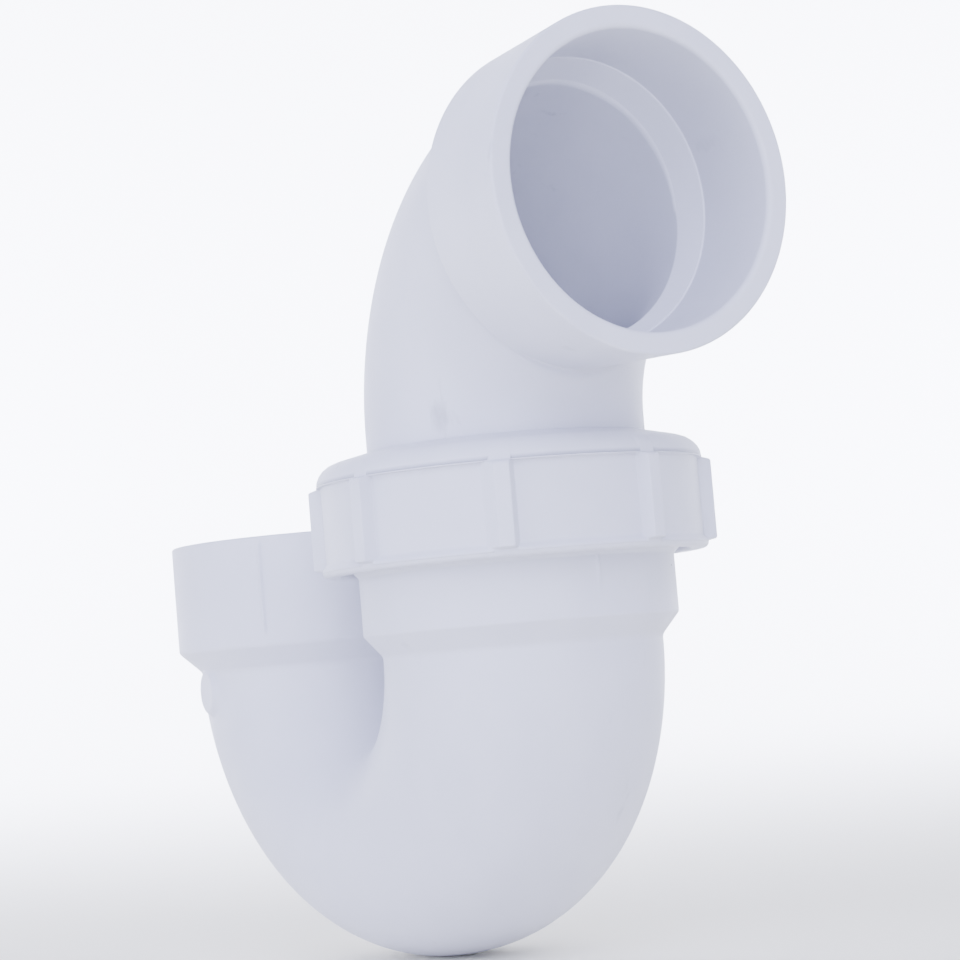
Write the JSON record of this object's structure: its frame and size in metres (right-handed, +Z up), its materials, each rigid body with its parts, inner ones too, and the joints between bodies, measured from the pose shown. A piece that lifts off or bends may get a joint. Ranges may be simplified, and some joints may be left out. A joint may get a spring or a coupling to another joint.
{
  "type": "p trap",
  "caption": "Drain P trap for solvent-weld pipe: a U bend with an inlet hub and threaded neck, a ribbed union nut, and a swivelling outlet elbow with a hub.",
  "frame": {"origin": "centre of the inlet hub's rim, where the tailpiece enters", "axes": "+Z up, out of the inlet hub and along the union's axis; +X from the inlet towards the union, which the outlet faces when it isn't swivelled; +Y completes the right-handed set"},
  "size_m": [0.1448, 0.0694, 0.1537],
  "materials": {
    "bend_pvc": "satin",
    "gasket_rubber": "matte",
    "end_ring_pvc": "satin",
    "nut_pvc": "satin",
    "elbow_pvc": "satin"
  },
  "bodies": {
    "trap_bend": {"trap_bend": "bend_pvc"},
    "union_gasket": {"union_gasket": "gasket_rubber"},
    "outlet_arm": {"outlet_elbow": "elbow_pvc", "elbow_end_ring": "end_ring_pvc"},
    "union_nut": {"union_nut": "nut_pvc"}
  },
  "joints": [
    {"name": "union_lift", "type": "slide", "parent": "trap_bend", "child": "union_gasket", "axis": [0, 0, 1], "range_m": [0, 0.00953]},
    {"name": "nut_turn", "type": "hinge", "parent": "union_gasket", "child": "union_nut", "pos_m": [0.066, 0, 0], "axis": [0, 0, 1], "range_deg": [0, 1080]},
    {"name": "arm_swivel", "type": "hinge", "parent": "union_gasket", "child": "outlet_arm", "pos_m": [0.066, 0, 0], "axis": [0, 0, 1], "continuous": true}
  ],
  "couplings": [
    {"joint": "union_lift", "follows": "nut_turn", "m_per_rad": 0.00050532}
  ]
}
